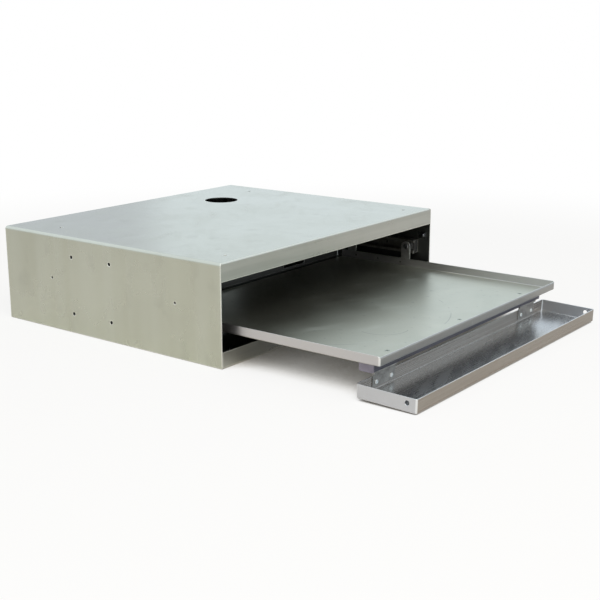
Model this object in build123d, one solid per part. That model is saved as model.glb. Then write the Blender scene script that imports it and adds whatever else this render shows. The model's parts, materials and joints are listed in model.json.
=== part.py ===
from build123d import *
import math
import os

# A keyboard drawer that hangs under a desk top: a folded steel housing, a tray that rolls out of it on
# rails, and a shallow flap that is hinged under the tray's front and closes the housing like a door.
# Millimetres. +X is right seen from the front, -Y is the front, +Z is up. The drawer is modelled pulled
# out with the flap hanging open. The origin is under the middle of that whole length, on the plane of
# the housing's underside.

# Housing
HOUSING_WIDTH = 560.0
HOUSING_DEPTH = 465.0
HOUSING_HEIGHT = 152.5
HOUSING_WALL = 1.5
HOUSING_BEND = 4.5
FASCIA_HEIGHT = 27.5
FASCIA_BEND = 2.5
BOTTOM_FLANGE = 12.0
REAR_FLANGE = 16.0
COVER_WALL = 1.2
COVER_MARGIN = 4.0
COVER_CORNER = 4.0
COVER_SCREW_COLUMNS = 4

# Holes in the housing
CABLE_HOLE_RADIUS = 30.0
CABLE_HOLE_FROM_SIDE = 155.0
CABLE_HOLE_FROM_REAR = 110.0
DESK_HOLE_RADIUS = 2.75
DESK_HOLE_FROM_SIDE = 45.0
DESK_HOLE_FROM_FRONT = 30.0
DESK_HOLE_FROM_REAR = 85.0
SIDE_HOLE_RADIUS = 2.75
SIDE_HOLE_SPACING_Y = 84.0
SIDE_HOLE_FROM_FRONT = 223.0
SIDE_HOLE_FROM_FOOT = 30.5
SIDE_HOLE_FROM_TOP = 31.5

# Rails and the rollers that run in them
RAIL_FRONT_GAP = 24.0
RAIL_REAR_GAP = 46.0
RAIL_TRAY_GAP = 10.0
RAIL_WALL = 1.5
RAIL_LIP = 3.0
RAIL_RIVET_INSET = 64.5
RAIL_RIVET_RADIUS = 2.0
RAIL_RIVET_RECESS = 0.3
BUFFER_THICKNESS = 3.0
BUFFER_GAP = 0.5
ROLLER_RADIUS = 10.0
ROLLER_WIDTH = 8.0
ROLLER_CHAMFER = 0.8
ROLLER_HUB_RADIUS = 5.0
ROLLER_RIM = 2.0
ROLLER_RECESS = 0.8
ROLLER_PLAY = 0.3
AXLE_RADIUS = 2.5
AXLE_SHOULDER_RADIUS = 4.0
AXLE_HEAD_RADIUS = 4.5
AXLE_HEAD_HEIGHT = 1.2
AXLE_END = 0.8
AXLE_GAP = 1.0
CLIP_RADIUS = 5.0
CLIP_THICKNESS = 0.6
CLIP_GROOVE = 0.5
BORE_CLEARANCE = 0.05

# Tray
TRAY_REACH = 250.0
TRAY_WALL = 1.2
TRAY_BEND = 2.0
TRAY_CORNER = 3.0
TRAY_SIDE_HEIGHT = 14.0
TRAY_LIP_HEIGHT = 10.0
TRAY_REAR_GAP = 26.0
TRAY_NOTCH_WIDTH = 60.0
TRAY_NOTCH_SILL = 5.0

# Side hangers that carry the tray on the rollers
HANGER_WALL = 2.0
HANGER_EAR_RADIUS = 9.0
HANGER_RAIL_GAP = 3.5
HANGER_RIVET_RADIUS = 2.0
HANGER_RIVET_COUNT = 3
HANGER_RIVET_INSET = 10.0

# Cross tube under the tray's front
TUBE_SIDE_INSET = 14.5
TUBE_DEPTH = 23.0
TUBE_HEIGHT = 16.0
TUBE_WALL = 1.5
TUBE_CORNER = 2.0
TUBE_SETBACK = 19.0
CAP_FLANGE = 1.5
CAP_SPIGOT = 10.5
CAP_PLAY = 0.2
TRAY_SCREW_INSET = 50.0
TRAY_SCREW_RADIUS = 2.0
TRAY_SCREW_HEAD_RADIUS = 3.8
TRAY_SCREW_LENGTH = 9.0
TUBE_NUT_RADIUS = 4.5
TUBE_NUT_HEIGHT = 4.0

# Hinges
HINGE_LENGTH = 54.0
HINGE_CAP_GAP = 1.3
HINGE_SETBACK = 4.6
HINGE_KNUCKLES = 5
KNUCKLE_RADIUS = 2.0
KNUCKLE_GAP = 0.3
LEAF_THICKNESS = 1.0
PIN_RADIUS = 1.0
PIN_HEAD_RADIUS = 1.8
PIN_HEAD_HEIGHT = 0.8
TUBE_LEAF_REACH = 14.0
FLAP_LEAF_REACH = 21.0
LEAF_HOLE_SPREAD = 18.0
LEAF_RIVET_RADIUS = 1.6
LEAF_RIVET_HEAD_RADIUS = 3.2
LEAF_RIVET_HEAD_HEIGHT = 1.4
LEAF_RIVET_TAIL_HEIGHT = 1.0
FLAP_RIVET_CLEARANCE = 0.1
TUBE_LEAF_RIVET_REACH = 9.0
FLAP_LEAF_RIVET_REACH = 14.5

# Flap
FLAP_SIDE_GAP = 6.0
FLAP_FOOT_GAP = 3.1
FLAP_WALL = 1.2
FLAP_BEND = 2.0
FLAP_CORNER = 3.0
FLAP_RIM_GAP = 5.5
FLAP_TOP_GAP = 7.5
FLAP_LIP_GAP = 1.6
FLAP_TRAY_GAP = 0.9
# Degrees that the open flap hangs below level, as the photographed one does
FLAP_DROOP = 1.5
CATCH_HOLE_RADIUS = 3.5
CATCH_HOLE_FROM_FRONT = 14.5
CATCH_HOLE_HEIGHT = 12.5

# Catch springs in the housing's sides, for the holes in the flap's ends
CATCH_THICKNESS = 0.8
CATCH_RAIL_GAP = 1.0
CATCH_WIDTH = 12.0
CATCH_NOSE_GAP = 5.0
CATCH_DOME_RADIUS = 4.0
CATCH_DOME_GAP = 0.4

# Screws of the rear cover
COVER_SCREW_RADIUS = 2.0
COVER_SCREW_LENGTH = 8.0
COVER_SCREW_HEAD_RADIUS = 3.8
COVER_SCREW_HEAD_HEIGHT = 2.2

# Every cut runs this far past the face it starts from
OVERRUN = 5.0
# How much of a rivet's or screw's head height its rounded rim takes
HEAD_ROUND_SHARE = 0.8
QUARTER_TURN = 90.0
HALF_TURN = 2 * QUARTER_TURN

# Places worked out from the sizes above
HALF_WIDTH = HOUSING_WIDTH / 2
INNER_X = HALF_WIDTH - HOUSING_WALL

TUBE_FRONT_REACH = TRAY_REACH - TUBE_SETBACK
AXIS_REACH = TUBE_FRONT_REACH - HINGE_SETBACK
FLAP_DROP = TUBE_SETBACK + HINGE_SETBACK + FLAP_TRAY_GAP + FLAP_WALL
FLAP_HEIGHT = FLAP_DROP - FLAP_RIM_GAP
AXIS_Z = FLAP_FOOT_GAP + FLAP_DROP
TUBE_BOTTOM = AXIS_Z + KNUCKLE_RADIUS
TRAY_BOTTOM = TUBE_BOTTOM + TUBE_HEIGHT
FLAP_REAR_REACH = AXIS_REACH - KNUCKLE_RADIUS - FLAP_WALL
CLOSED_FLAP_BOTTOM = AXIS_Z - KNUCKLE_RADIUS - FLAP_WALL
LIP_HEIGHT = CLOSED_FLAP_BOTTOM - FLAP_LIP_GAP
FLAP_DEPTH = HOUSING_HEIGHT - FASCIA_HEIGHT - FLAP_TOP_GAP - CLOSED_FLAP_BOTTOM
FLAP_REACH = FLAP_REAR_REACH + FLAP_DEPTH
DROOP = math.radians(FLAP_DROOP)
DROOPED_REACH = AXIS_REACH + (FLAP_REACH - AXIS_REACH) * math.cos(DROOP) - FLAP_RIM_GAP * math.sin(DROOP)
DRAWER_TRAVEL = AXIS_REACH + FLAP_DROP

FRONT_Y = (DROOPED_REACH - HOUSING_DEPTH - COVER_SCREW_HEAD_HEIGHT) / 2
REAR_Y = FRONT_Y + HOUSING_DEPTH
SHELL_REAR_Y = REAR_Y - COVER_WALL
AXIS_Y = FRONT_Y - AXIS_REACH
TRAY_FRONT_Y = FRONT_Y - TRAY_REACH
TRAY_REAR_Y = REAR_Y - TRAY_REAR_GAP - DRAWER_TRAVEL
TUBE_FRONT_Y = FRONT_Y - TUBE_FRONT_REACH
FLAP_REAR_Y = FRONT_Y - FLAP_REAR_REACH
FLAP_FRONT_Y = FRONT_Y - FLAP_REACH

RAIL_FRONT_Y = FRONT_Y + RAIL_FRONT_GAP
RAIL_REAR_Y = REAR_Y - RAIL_REAR_GAP
CHANNEL_HALF = ROLLER_RADIUS + ROLLER_PLAY
RAIL_MIDDLE_Z = TRAY_BOTTOM + TRAY_SIDE_HEIGHT + RAIL_TRAY_GAP + RAIL_WALL + CHANNEL_HALF
AXLE_TIP_X = INNER_X - RAIL_WALL - AXLE_GAP
CLIP_X = AXLE_TIP_X - AXLE_END - CLIP_THICKNESS
ROLLER_X = CLIP_X - ROLLER_PLAY - ROLLER_WIDTH
RAIL_MOUTH_X = ROLLER_X - ROLLER_PLAY - RAIL_WALL
BUFFER_STEP = BUFFER_THICKNESS + BUFFER_GAP + ROLLER_RADIUS
FRONT_ROLLER_Y = RAIL_FRONT_Y + BUFFER_STEP
REAR_ROLLER_Y = RAIL_REAR_Y - BUFFER_STEP - DRAWER_TRAVEL
HANGER_OUTER_X = RAIL_MOUTH_X - HANGER_RAIL_GAP
TRAY_X = HANGER_OUTER_X - HANGER_WALL
TUBE_X = TRAY_X - TUBE_SIDE_INSET
LEAF_RIVET_X = TUBE_X - CAP_FLANGE - CAP_SPIGOT - HINGE_CAP_GAP - LEAF_RIVET_HEAD_RADIUS
HINGE_CENTRE_X = LEAF_RIVET_X - LEAF_HOLE_SPREAD
FLAP_X = INNER_X - FLAP_SIDE_GAP
CABLE_HOLE_X = HALF_WIDTH - CABLE_HOLE_FROM_SIDE
CATCH_HOLE_Y = FLAP_FRONT_Y + CATCH_HOLE_FROM_FRONT
CATCH_HOLE_Z = FLAP_FOOT_GAP + CATCH_HOLE_HEIGHT
CLOSED_CATCH_Y = FRONT_Y + CATCH_HOLE_HEIGHT
CLOSED_CATCH_Z = AXIS_Z + AXIS_Y - CATCH_HOLE_Y
TUBE_MIDDLE_Y = TUBE_FRONT_Y + TUBE_DEPTH / 2


# Building blocks

def slab(x_span, y_span, z_span):
    """A block that fills three spans, each given as its low and high end."""
    spans = (x_span, y_span, z_span)
    middle = Pos(*[(low + high) / 2 for low, high in spans])
    return middle * Box(*[high - low for low, high in spans])


def rod_x(radius, x_low, x_high, y, z):
    """A round bar along X."""
    bar = Cylinder(radius, x_high - x_low)
    return Pos((x_low + x_high) / 2, y, z) * Rot(0, QUARTER_TURN, 0) * bar


def rod_y(radius, x, y_low, y_high, z):
    """A round bar along Y."""
    bar = Cylinder(radius, y_high - y_low)
    return Pos(x, (y_low + y_high) / 2, z) * Rot(QUARTER_TURN, 0, 0) * bar


def rod_z(radius, x, y, z_low, z_high):
    """A round bar along Z."""
    return Pos(x, y, (z_low + z_high) / 2) * Cylinder(radius, z_high - z_low)


def button(radius, height):
    """A rivet's or screw's head: its seat is on the plane Z = 0 and its rounded crown is above."""
    head = Cylinder(radius, height, align=(Align.CENTER, Align.CENTER, Align.MIN))
    return fillet(head.edges().group_by(Axis.Z)[-1], min(height, radius) * HEAD_ROUND_SHARE)


def pan(x_half, y_low, y_high, z_low, height, wall, bend, corner):
    """A shallow folded tray with a floor and four upright walls, welded and rounded at the corners."""
    outer = slab((-x_half, x_half), (y_low, y_high), (z_low, z_low + height))
    outer = fillet(outer.edges().filter_by(Axis.Z), corner)
    outer = fillet(outer.faces().sort_by(Axis.Z)[0].edges(), bend)
    inner_x = x_half - wall
    inner = slab(
        (-inner_x, inner_x),
        (y_low + wall, y_high - wall),
        (z_low + wall, z_low + height + OVERRUN)
    )
    inner = fillet(inner.edges().filter_by(Axis.Z), corner - wall)
    inner = fillet(inner.faces().sort_by(Axis.Z)[0].edges(), bend - wall)
    return outer - inner


def both_sides(piece):
    """A right-hand piece and its mirror image on the left."""
    return piece, mirror(piece, about=Plane.YZ)


def evenly(low, high, count):
    """Places spread evenly from low to high."""
    return [low + (high - low) * step / (count - 1) for step in range(count)]


def drooped(piece):
    """A piece of the level flap, let down about the hinge's axis to where the open flap hangs."""
    return Pos(0, AXIS_Y, AXIS_Z) * Rot(FLAP_DROOP, 0, 0) * Pos(0, -AXIS_Y, -AXIS_Z) * piece


def group(pieces):
    """Separate solids kept together as one node."""
    return Compound(children=[solid for piece in pieces for solid in piece.solids()])


# Housing

def desk_hole_places():
    reach_x = HALF_WIDTH - DESK_HOLE_FROM_SIDE
    rows_y = (FRONT_Y + DESK_HOLE_FROM_FRONT, REAR_Y - DESK_HOLE_FROM_REAR)
    return [(x, y) for x in (-reach_x, reach_x) for y in rows_y]


def side_hole_places():
    low_y = FRONT_Y + SIDE_HOLE_FROM_FRONT
    rows_y = (low_y, low_y + SIDE_HOLE_SPACING_Y)
    rows_z = (SIDE_HOLE_FROM_FOOT, HOUSING_HEIGHT - SIDE_HOLE_FROM_TOP)
    return [(y, z) for y in rows_y for z in rows_z]


def rail_rivet_places():
    return [RAIL_FRONT_Y + RAIL_RIVET_INSET, RAIL_REAR_Y - RAIL_RIVET_INSET]


def cover_screw_places():
    """X and Z of the screws, in the middle of the rear flanges."""
    reach_x = INNER_X - REAR_FLANGE / 2
    columns = evenly(-reach_x, reach_x, COVER_SCREW_COLUMNS)
    rows = (REAR_FLANGE / 2, HOUSING_HEIGHT - HOUSING_WALL - REAR_FLANGE / 2)
    return [(x, z) for x in columns for z in rows]


def housing_shell():
    """Top and sides from one sheet, with the fascia turned down in front and flanges at the rear."""
    outer = slab((-HALF_WIDTH, HALF_WIDTH), (FRONT_Y, SHELL_REAR_Y), (0, HOUSING_HEIGHT))
    outer = fillet(outer.edges().filter_by(Axis.Y).group_by(Axis.Z)[-1], HOUSING_BEND)
    inner_top = HOUSING_HEIGHT - HOUSING_WALL
    flange_y = SHELL_REAR_Y - HOUSING_WALL
    inner = slab((-INNER_X, INNER_X), (FRONT_Y - OVERRUN, flange_y), (-OVERRUN, inner_top))
    inner = fillet(inner.edges().filter_by(Axis.Y).group_by(Axis.Z)[-1], HOUSING_BEND - HOUSING_WALL)
    window_x = INNER_X - REAR_FLANGE
    window_top = inner_top - REAR_FLANGE
    window = slab((-window_x, window_x), (flange_y - OVERRUN, REAR_Y + OVERRUN), (-OVERRUN, window_top))
    foot = slab((-INNER_X, INNER_X), (flange_y - OVERRUN, REAR_Y + OVERRUN), (-OVERRUN, REAR_FLANGE))
    fascia = slab(
        (-INNER_X, INNER_X),
        (FRONT_Y, FRONT_Y + HOUSING_WALL),
        (HOUSING_HEIGHT - FASCIA_HEIGHT, inner_top)
    )
    shell = outer - inner - window - foot + (fascia & outer)

    fold_x = HALF_WIDTH - HOUSING_BEND
    fold_y = FRONT_Y + FASCIA_BEND
    fold_z = HOUSING_HEIGHT - FASCIA_BEND
    square = slab((-fold_x, fold_x), (FRONT_Y - OVERRUN, fold_y), (fold_z, HOUSING_HEIGHT + OVERRUN))
    shell -= square - rod_x(FASCIA_BEND, -fold_x, fold_x, fold_y, fold_z)

    low, high = inner_top - OVERRUN, HOUSING_HEIGHT + OVERRUN
    for x, y in desk_hole_places():
        shell -= rod_z(DESK_HOLE_RADIUS, x, y, low, high)
    shell -= rod_z(CABLE_HOLE_RADIUS, CABLE_HOLE_X, REAR_Y - CABLE_HOLE_FROM_REAR, low, high)
    reach = HALF_WIDTH + OVERRUN
    for y, z in side_hole_places():
        shell -= rod_x(SIDE_HOLE_RADIUS, -reach, reach, y, z)
    for y in rail_rivet_places():
        shell -= rod_x(RAIL_RIVET_RADIUS, -reach, reach, y, RAIL_MIDDLE_Z)
    for x, z in cover_screw_places():
        shell -= rod_y(COVER_SCREW_RADIUS, x, flange_y - OVERRUN, REAR_Y, z)
    return shell


def bottom_panel():
    """Floor between the sides, with an upturned lip in front and flanges at the sides and rear."""
    flange_y = SHELL_REAR_Y - HOUSING_WALL
    floor = slab((-INNER_X, INNER_X), (FRONT_Y, SHELL_REAR_Y), (0, HOUSING_WALL))
    lip = slab((-INNER_X, INNER_X), (FRONT_Y, FRONT_Y + HOUSING_WALL), (0, LIP_HEIGHT))
    rear = slab((-INNER_X, INNER_X), (flange_y, SHELL_REAR_Y), (0, REAR_FLANGE))
    flange_x = INNER_X - HOUSING_WALL
    right, left = both_sides(slab((flange_x, INNER_X), (FRONT_Y, SHELL_REAR_Y), (0, BOTTOM_FLANGE)))
    panel = floor + lip + rear + right + left
    front_edge = panel.edges().filter_by(Axis.X).group_by(Axis.Z)[0].sort_by(Axis.Y)[0]
    panel = fillet(front_edge, FASCIA_BEND)
    for x, z in cover_screw_places():
        panel -= rod_y(COVER_SCREW_RADIUS, x, flange_y - OVERRUN, REAR_Y, z)
    return panel


def rear_cover():
    """Flat plate over the open rear."""
    reach_x = HALF_WIDTH - COVER_MARGIN
    plate = slab(
        (-reach_x, reach_x),
        (SHELL_REAR_Y, REAR_Y),
        (COVER_MARGIN, HOUSING_HEIGHT - COVER_MARGIN)
    )
    plate = fillet(plate.edges().filter_by(Axis.Y), COVER_CORNER)
    for x, z in cover_screw_places():
        plate -= rod_y(COVER_SCREW_RADIUS, x, SHELL_REAR_Y - OVERRUN, REAR_Y + OVERRUN, z)
    return plate


def cover_screws():
    head = Rot(-QUARTER_TURN, 0, 0) * button(COVER_SCREW_HEAD_RADIUS, COVER_SCREW_HEAD_HEIGHT)
    return group(
        Pos(x, REAR_Y, z) * head + rod_y(COVER_SCREW_RADIUS, x, REAR_Y - COVER_SCREW_LENGTH, REAR_Y, z)
        for x, z in cover_screw_places()
    )


# Rails, buffers and catch springs on the housing

def rail():
    """Right-hand channel, open towards the tray, with lips that keep the rollers in."""
    half = CHANNEL_HALF + RAIL_WALL
    middle = RAIL_MIDDLE_Z
    low_y, high_y = RAIL_FRONT_Y - OVERRUN, RAIL_REAR_Y + OVERRUN
    mouth_half = CHANNEL_HALF - RAIL_LIP
    body = slab((RAIL_MOUTH_X, INNER_X), (RAIL_FRONT_Y, RAIL_REAR_Y), (middle - half, middle + half))
    body -= slab(
        (RAIL_MOUTH_X + RAIL_WALL, INNER_X - RAIL_WALL),
        (low_y, high_y),
        (middle - CHANNEL_HALF, middle + CHANNEL_HALF)
    )
    mouth_low_x, mouth_high_x = RAIL_MOUTH_X - OVERRUN, RAIL_MOUTH_X + OVERRUN
    body -= slab(
        (mouth_low_x, mouth_high_x),
        (low_y, high_y),
        (middle - mouth_half, middle + mouth_half)
    )
    for y in rail_rivet_places():
        body -= rod_x(RAIL_RIVET_RADIUS, INNER_X - OVERRUN, INNER_X + OVERRUN, y, middle)
    return body


def rail_rivets():
    """Flush rivets, set a little below the housing's outer face."""
    low_x, high_x = INNER_X - RAIL_WALL, HALF_WIDTH - RAIL_RIVET_RECESS
    rivets = [rod_x(RAIL_RIVET_RADIUS, low_x, high_x, y, RAIL_MIDDLE_Z) for y in rail_rivet_places()]
    return group(side for rivet in rivets for side in both_sides(rivet))


def rail_buffers():
    """Rubber blocks that stop the rollers at both ends of each rail."""
    low_x, high_x = RAIL_MOUTH_X + RAIL_WALL, INNER_X - RAIL_WALL
    low_z, high_z = RAIL_MIDDLE_Z - CHANNEL_HALF, RAIL_MIDDLE_Z + CHANNEL_HALF
    starts = (RAIL_FRONT_Y, RAIL_REAR_Y - BUFFER_THICKNESS)
    blocks = [slab((low_x, high_x), (y, y + BUFFER_THICKNESS), (low_z, high_z)) for y in starts]
    return group(side for block in blocks for side in both_sides(block))


def catch_spring():
    """Right-hand leaf with a domed nose that meets the hole in the closed flap's end."""
    half = CATCH_WIDTH / 2
    leaf_x = INNER_X - CATCH_THICKNESS
    leaf = slab(
        (leaf_x, INNER_X),
        (CLOSED_CATCH_Y - CATCH_NOSE_GAP, RAIL_FRONT_Y - CATCH_RAIL_GAP),
        (CLOSED_CATCH_Z - half, CLOSED_CATCH_Z + half)
    )
    dome = button(CATCH_DOME_RADIUS, leaf_x - FLAP_X - CATCH_DOME_GAP)
    return leaf + Pos(leaf_x, CLOSED_CATCH_Y, CLOSED_CATCH_Z) * Rot(0, -QUARTER_TURN, 0) * dome


# Drawer: tray, hangers, axles and cross tube

def tray_screw_places():
    reach_x = TUBE_X - TRAY_SCREW_INSET
    return [-reach_x, 0, reach_x]


def hanger_rivet_places():
    low_y, high_y = FRONT_ROLLER_Y + HANGER_RIVET_INSET, REAR_ROLLER_Y - HANGER_RIVET_INSET
    return evenly(low_y, high_y, HANGER_RIVET_COUNT)


def hanger_rivet_height():
    return TRAY_BOTTOM + TRAY_SIDE_HEIGHT / 2


def keyboard_tray():
    """Shallow tray with a low front lip, taller sides and a notch for the cable at the rear."""
    span = (TRAY_FRONT_Y, TRAY_REAR_Y)
    tray = pan(TRAY_X, *span, TRAY_BOTTOM, TRAY_SIDE_HEIGHT, TRAY_WALL, TRAY_BEND, TRAY_CORNER)
    reach_x = TRAY_X + OVERRUN
    lip_top = TRAY_BOTTOM + TRAY_LIP_HEIGHT
    step = TRAY_SIDE_HEIGHT - TRAY_LIP_HEIGHT
    corner = slab(
        (-reach_x, reach_x),
        (TRAY_FRONT_Y - OVERRUN, TRAY_FRONT_Y + step),
        (lip_top, lip_top + step + OVERRUN)
    )
    tray -= corner - rod_x(step, -reach_x, reach_x, TRAY_FRONT_Y + step, lip_top)
    notch_low_x = CABLE_HOLE_X - TRAY_NOTCH_WIDTH / 2
    tray -= slab(
        (notch_low_x, notch_low_x + TRAY_NOTCH_WIDTH),
        (TRAY_REAR_Y - TRAY_WALL, TRAY_REAR_Y + OVERRUN),
        (TRAY_BOTTOM + TRAY_NOTCH_SILL, TRAY_BOTTOM + TRAY_SIDE_HEIGHT + OVERRUN)
    )
    for x in tray_screw_places():
        tray -= tray_screw(x)
    for y in hanger_rivet_places():
        tray -= rod_x(HANGER_RIVET_RADIUS, -reach_x, reach_x, y, hanger_rivet_height())
    return tray


def tray_screw(x):
    """Countersunk screw, flush with the tray's floor and reaching into the cross tube."""
    top = TRAY_BOTTOM + TRAY_WALL
    head = Cone(TRAY_SCREW_RADIUS, TRAY_SCREW_HEAD_RADIUS, TRAY_WALL)
    head = Pos(x, TUBE_MIDDLE_Y, TRAY_BOTTOM + TRAY_WALL / 2) * head
    return head + rod_z(TRAY_SCREW_RADIUS, x, TUBE_MIDDLE_Y, top - TRAY_SCREW_LENGTH, TRAY_BOTTOM)


def tray_screws():
    return group(tray_screw(x) for x in tray_screw_places())


def tube_nut(x):
    """Round nut under the tube's top wall."""
    high_z = TRAY_BOTTOM - TUBE_WALL
    low_z = high_z - TUBE_NUT_HEIGHT
    nut = rod_z(TUBE_NUT_RADIUS, x, TUBE_MIDDLE_Y, low_z, high_z)
    return nut - rod_z(TRAY_SCREW_RADIUS, x, TUBE_MIDDLE_Y, low_z - OVERRUN, high_z + OVERRUN)


def tube_nuts():
    return group(tube_nut(x) for x in tray_screw_places())


def hanger():
    """Right-hand plate: a strip along the tray's side with an ear at each roller."""
    low_z = TRAY_BOTTOM + TRAY_BEND
    ear = HANGER_EAR_RADIUS
    plate = slab(
        (TRAY_X, HANGER_OUTER_X),
        (FRONT_ROLLER_Y - ear, REAR_ROLLER_Y + ear),
        (low_z, TRAY_BOTTOM + TRAY_SIDE_HEIGHT)
    )
    for y in (FRONT_ROLLER_Y, REAR_ROLLER_Y):
        plate += slab((TRAY_X, HANGER_OUTER_X), (y - ear, y + ear), (low_z, RAIL_MIDDLE_Z))
        plate += rod_x(HANGER_EAR_RADIUS, TRAY_X, HANGER_OUTER_X, y, RAIL_MIDDLE_Z)
    low_x, high_x = TRAY_X - OVERRUN, HANGER_OUTER_X + OVERRUN
    for y in (FRONT_ROLLER_Y, REAR_ROLLER_Y):
        plate -= rod_x(AXLE_RADIUS, low_x, high_x, y, RAIL_MIDDLE_Z)
    for y in hanger_rivet_places():
        plate -= rod_x(HANGER_RIVET_RADIUS, low_x, high_x, y, hanger_rivet_height())
    return plate


def hanger_rivets():
    """Rivets through the tray's sides and the hangers, flush on both faces."""
    low_x = TRAY_X - TRAY_WALL
    z = hanger_rivet_height()
    rivets = [rod_x(HANGER_RIVET_RADIUS, low_x, HANGER_OUTER_X, y, z) for y in hanger_rivet_places()]
    return group(side for rivet in rivets for side in both_sides(rivet))


def roller_axle(y):
    """Right-hand axle: head inside the hanger, shoulder, spindle and a groove for the clip."""
    z = RAIL_MIDDLE_Z
    groove_radius = AXLE_RADIUS - CLIP_GROOVE
    clip_high_x = CLIP_X + CLIP_THICKNESS
    axle = rod_x(AXLE_HEAD_RADIUS, TRAY_X - AXLE_HEAD_HEIGHT, TRAY_X, y, z)
    axle += rod_x(AXLE_RADIUS, TRAY_X, CLIP_X, y, z)
    axle += rod_x(AXLE_SHOULDER_RADIUS, HANGER_OUTER_X, ROLLER_X - ROLLER_PLAY, y, z)
    axle += rod_x(groove_radius, CLIP_X, clip_high_x, y, z)
    return axle + rod_x(AXLE_RADIUS, clip_high_x, AXLE_TIP_X, y, z)


def roller_axles():
    axles = [roller_axle(y) for y in (FRONT_ROLLER_Y, REAR_ROLLER_Y)]
    return group(side for axle in axles for side in both_sides(axle))


def axle_clips():
    """Retaining rings outside the rollers."""
    low_x, high_x = CLIP_X, CLIP_X + CLIP_THICKNESS
    clips = []
    for y in (FRONT_ROLLER_Y, REAR_ROLLER_Y):
        ring = rod_x(CLIP_RADIUS, low_x, high_x, y, RAIL_MIDDLE_Z)
        ring -= rod_x(AXLE_RADIUS - CLIP_GROOVE, low_x - OVERRUN, high_x + OVERRUN, y, RAIL_MIDDLE_Z)
        clips += both_sides(ring)
    return group(clips)


def roller(y):
    """Right-hand nylon roller with a hub, a rim and a bore that runs on the axle."""
    low_x, high_x = ROLLER_X, ROLLER_X + ROLLER_WIDTH
    z = RAIL_MIDDLE_Z
    wheel = rod_x(ROLLER_RADIUS, low_x, high_x, y, z)
    wheel = chamfer(wheel.edges().filter_by(GeomType.CIRCLE), ROLLER_CHAMFER)
    faces = ((low_x - OVERRUN, low_x + ROLLER_RECESS), (high_x - ROLLER_RECESS, high_x + OVERRUN))
    for near, far in faces:
        recess = rod_x(ROLLER_RADIUS - ROLLER_RIM, near, far, y, z)
        wheel -= recess - rod_x(ROLLER_HUB_RADIUS, near, far, y, z)
    return wheel - rod_x(AXLE_RADIUS + BORE_CLEARANCE, low_x - OVERRUN, high_x + OVERRUN, y, z)


def cross_tube():
    """Rectangular tube under the tray's front."""
    reach_x = TUBE_X - CAP_FLANGE
    outer = slab(
        (-reach_x, reach_x),
        (TUBE_FRONT_Y, TUBE_FRONT_Y + TUBE_DEPTH),
        (TUBE_BOTTOM, TRAY_BOTTOM)
    )
    outer = fillet(outer.edges().filter_by(Axis.X), TUBE_CORNER)
    tube = outer - tube_inside(reach_x + OVERRUN, 0)
    low_z, high_z = TRAY_BOTTOM - TUBE_WALL - OVERRUN, TRAY_BOTTOM + OVERRUN
    for x in tray_screw_places():
        tube -= rod_z(TRAY_SCREW_RADIUS, x, TUBE_MIDDLE_Y, low_z, high_z)
    low_z, high_z = TUBE_BOTTOM - OVERRUN, TUBE_BOTTOM + TUBE_WALL + OVERRUN
    for x in leaf_hole_places():
        tube -= rod_z(LEAF_RIVET_RADIUS, x, tube_rivet_y(), low_z, high_z)
    return tube


def tube_inside(reach_x, play):
    """The tube's hollow, or with play the plug that slips into it."""
    gap = TUBE_WALL + play
    hollow = slab(
        (-reach_x, reach_x),
        (TUBE_FRONT_Y + gap, TUBE_FRONT_Y + TUBE_DEPTH - gap),
        (TUBE_BOTTOM + gap, TRAY_BOTTOM - gap)
    )
    return fillet(hollow.edges().filter_by(Axis.X), TUBE_CORNER - TUBE_WALL)


def tube_end_caps():
    """Plastic plugs with a flange as large as the tube."""
    end_x = TUBE_X
    seat_x = end_x - CAP_FLANGE
    spigot_x = seat_x - CAP_SPIGOT
    flange = slab(
        (seat_x, end_x),
        (TUBE_FRONT_Y, TUBE_FRONT_Y + TUBE_DEPTH),
        (TUBE_BOTTOM, TRAY_BOTTOM)
    )
    flange = fillet(flange.edges().filter_by(Axis.X), TUBE_CORNER)
    spigot = tube_inside(seat_x, CAP_PLAY)
    middle = slab(
        (-spigot_x, spigot_x),
        (TUBE_FRONT_Y - OVERRUN, TUBE_FRONT_Y + TUBE_DEPTH + OVERRUN),
        (TUBE_BOTTOM - OVERRUN, TRAY_BOTTOM + OVERRUN)
    )
    left_half = slab(
        (-end_x - OVERRUN, 0),
        (TUBE_FRONT_Y - OVERRUN, TUBE_FRONT_Y + TUBE_DEPTH + OVERRUN),
        (TUBE_BOTTOM - OVERRUN, TRAY_BOTTOM + OVERRUN)
    )
    return group(both_sides(flange + (spigot - middle - left_half)))


# Hinges

def leaf_hole_places():
    """X of the rivets of both hinges."""
    shifts = (-LEAF_HOLE_SPREAD, LEAF_HOLE_SPREAD)
    return [centre + shift for centre in (-HINGE_CENTRE_X, HINGE_CENTRE_X) for shift in shifts]


def tube_rivet_y():
    return AXIS_Y + TUBE_LEAF_RIVET_REACH


def flap_rivet_z():
    return AXIS_Z - FLAP_LEAF_RIVET_REACH


def flap_rivet_hole(x):
    """Hole for a rivet through the moving leaf and the flap's rear wall."""
    radius = LEAF_RIVET_RADIUS + FLAP_RIVET_CLEARANCE
    return rod_y(radius, x, FLAP_REAR_Y - OVERRUN, FLAP_REAR_Y + OVERRUN, flap_rivet_z())


def knuckle_spans(first):
    """X spans of every second knuckle of the right-hand hinge."""
    length = (HINGE_LENGTH - KNUCKLE_GAP * (HINGE_KNUCKLES - 1)) / HINGE_KNUCKLES
    start = HINGE_CENTRE_X - HINGE_LENGTH / 2
    lows = [start + step * (length + KNUCKLE_GAP) for step in range(first, HINGE_KNUCKLES, 2)]
    return [(low, low + length) for low in lows]


def hinge_bore():
    reach = HINGE_LENGTH / 2 + OVERRUN
    low_x, high_x = HINGE_CENTRE_X - reach, HINGE_CENTRE_X + reach
    return rod_x(PIN_RADIUS + BORE_CLEARANCE, low_x, high_x, AXIS_Y, AXIS_Z)


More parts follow.
